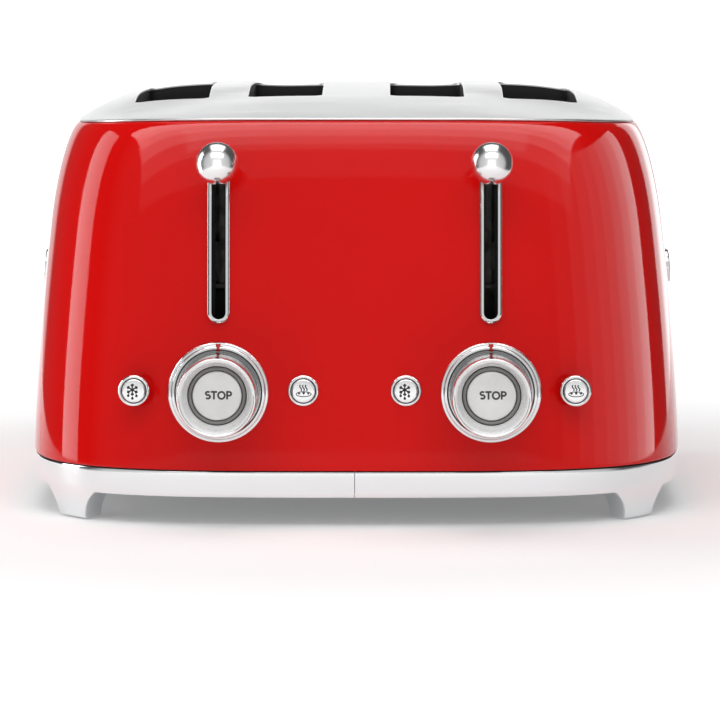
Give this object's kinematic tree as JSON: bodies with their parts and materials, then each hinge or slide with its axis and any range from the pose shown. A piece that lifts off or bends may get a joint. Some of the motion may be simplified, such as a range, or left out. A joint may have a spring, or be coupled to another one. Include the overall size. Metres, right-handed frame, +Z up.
{
  "type": "pop-up toaster",
  "caption": "Retro pop-up toaster with long bread slots, front levers, browning dials with stop buttons, and pull-out crumb trays.",
  "frame": {"origin": "on the table, under the middle of the bounding box", "axes": "+X to the right as seen from the front, +Y to the back, +Z up"},
  "size_m": [0.328, 0.395, 0.2104],
  "materials": {
    "red_enamel": "gloss",
    "brushed_steel": "satin",
    "chrome_trim": "polished",
    "chrome_control": "polished",
    "chrome_wire": "polished",
    "matte_silver": "matte",
    "zinc_sheet": "galvanised",
    "tray_steel": "satin",
    "spring_steel": "satin",
    "black_plastic": "matte",
    "rubber_pad": "matte",
    "mica": "matte",
    "circuit_board": "satin"
  },
  "bodies": {
    "root": {"body_shell": "red_enamel", "top_panel": "brushed_steel", "base_trim_left": "chrome_trim", "base_trim_right": "chrome_trim", "base_plate": "zinc_sheet", "foot_pads": "rubber_pad", "lever_bezel_left": "chrome_trim", "lever_bezel_right": "chrome_trim", "slot_guard_left": "black_plastic", "slot_guard_right": "black_plastic", "carriage_spring_left": "spring_steel", "latch_magnet_left": "zinc_sheet", "carriage_spring_right": "spring_steel", "latch_magnet_right": "zinc_sheet", "guide_rods": "spring_steel", "heater_board_1": "mica", "heater_board_2": "mica", "heater_board_3": "mica", "heater_board_4": "mica", "heater_board_5": "mica", "heater_board_6": "mica", "chassis_front": "zinc_sheet", "chassis_rear": "zinc_sheet", "chassis_side_left": "zinc_sheet", "chassis_side_right": "zinc_sheet", "control_board_left": "circuit_board", "control_board_right": "circuit_board", "dial_surround_left": "chrome_control", "dial_surround_right": "chrome_control", "stop_housing_left": "black_plastic", "stop_housing_right": "black_plastic", "button_bezels": "chrome_control", "side_badge_left": "chrome_control", "side_badge_right": "chrome_control", "cord_gland": "black_plastic", "terminal_block": "black_plastic", "base_screws": "zinc_sheet"},
    "crumb_tray_left": {"crumb_tray_left": "tray_steel"},
    "crumb_tray_right": {"crumb_tray_right": "tray_steel"},
    "lever_left": {"lever_knob_left": "chrome_control", "carriage_left": "zinc_sheet", "bread_lifter_1": "tray_steel", "bread_lifter_2": "tray_steel"},
    "lever_right": {"lever_knob_right": "chrome_control", "carriage_right": "zinc_sheet", "bread_lifter_3": "tray_steel", "bread_lifter_4": "tray_steel"},
    "guides_left_right": {"guides_left_inward_right": "chrome_wire"},
    "guides_left_left": {"guides_left_inward_left": "chrome_wire"},
    "guides_right_right": {"guides_right_inward_right": "chrome_wire"},
    "guides_right_left": {"guides_right_inward_left": "chrome_wire"},
    "dial_left": {"browning_dial_left": "chrome_control"},
    "dial_right": {"browning_dial_right": "chrome_control"},
    "stop_left": {"stop_button_left": "matte_silver"},
    "stop_right": {"stop_button_right": "matte_silver"},
    "defrost_left": {"defrost_button_left": "chrome_control"},
    "defrost_right": {"defrost_button_right": "chrome_control"},
    "reheat_left": {"reheat_button_left": "chrome_control"},
    "reheat_right": {"reheat_button_right": "chrome_control"}
  },
  "joints": [
    {"name": "lever_left_slide", "type": "slide", "parent": "root", "child": "lever_left", "axis": [0, 0, -1], "range_m": [0, 0.07], "stiffness_N_per_m": 60, "springref_m": -0.08, "deforming": ["carriage_spring_left"]},
    {"name": "lever_right_slide", "type": "slide", "parent": "root", "child": "lever_right", "axis": [0, 0, -1], "range_m": [0, 0.07], "stiffness_N_per_m": 60, "springref_m": -0.08, "deforming": ["carriage_spring_right"]},
    {"name": "guides_left_right_slide", "type": "slide", "parent": "root", "child": "guides_left_right", "axis": [1, 0, 0], "range_m": [0, 0.007]},
    {"name": "guides_left_left_slide", "type": "slide", "parent": "root", "child": "guides_left_left", "axis": [-1, 0, 0], "range_m": [0, 0.007]},
    {"name": "guides_right_right_slide", "type": "slide", "parent": "root", "child": "guides_right_right", "axis": [1, 0, 0], "range_m": [0, 0.007]},
    {"name": "guides_right_left_slide", "type": "slide", "parent": "root", "child": "guides_right_left", "axis": [-1, 0, 0], "range_m": [0, 0.007]},
    {"name": "dial_left_turn", "type": "hinge", "parent": "root", "child": "dial_left", "pos_m": [-0.0655, -0.18, 0.0654], "axis": [0, 1, 0], "range_deg": [0, 270]},
    {"name": "dial_right_turn", "type": "hinge", "parent": "root", "child": "dial_right", "pos_m": [0.0655, -0.18, 0.0654], "axis": [0, 1, 0], "range_deg": [0, 270]},
    {"name": "stop_left_press", "type": "slide", "parent": "root", "child": "stop_left", "axis": [0, 1, 0], "range_m": [0, 0.0015], "stiffness_N_per_m": 600, "springref_m": -0.001},
    {"name": "stop_right_press", "type": "slide", "parent": "root", "child": "stop_right", "axis": [0, 1, 0], "range_m": [0, 0.0015], "stiffness_N_per_m": 600, "springref_m": -0.001},
    {"name": "defrost_left_press", "type": "slide", "parent": "root", "child": "defrost_left", "axis": [0, 1, 0], "range_m": [0, 0.0012], "stiffness_N_per_m": 600, "springref_m": -0.001},
    {"name": "defrost_right_press", "type": "slide", "parent": "root", "child": "defrost_right", "axis": [0, 1, 0], "range_m": [0, 0.0012], "stiffness_N_per_m": 600, "springref_m": -0.001},
    {"name": "reheat_left_press", "type": "slide", "parent": "root", "child": "reheat_left", "axis": [0, 1, 0], "range_m": [0, 0.0012], "stiffness_N_per_m": 600, "springref_m": -0.001},
    {"name": "reheat_right_press", "type": "slide", "parent": "root", "child": "reheat_right", "axis": [0, 1, 0], "range_m": [0, 0.0012], "stiffness_N_per_m": 600, "springref_m": -0.001},
    {"name": "crumb_tray_left_slide", "type": "slide", "parent": "root", "child": "crumb_tray_left", "axis": [0, 1, 0], "range_m": [0, 0.18]},
    {"name": "crumb_tray_right_slide", "type": "slide", "parent": "root", "child": "crumb_tray_right", "axis": [0, 1, 0], "range_m": [0, 0.18]}
  ],
  "couplings": [
    {"joint": "guides_left_right_slide", "follows": "lever_left_slide", "ratio": 0.1},
    {"joint": "guides_left_left_slide", "follows": "lever_left_slide", "ratio": 0.1},
    {"joint": "guides_right_right_slide", "follows": "lever_right_slide", "ratio": 0.1},
    {"joint": "guides_right_left_slide", "follows": "lever_right_slide", "ratio": 0.1}
  ]
}
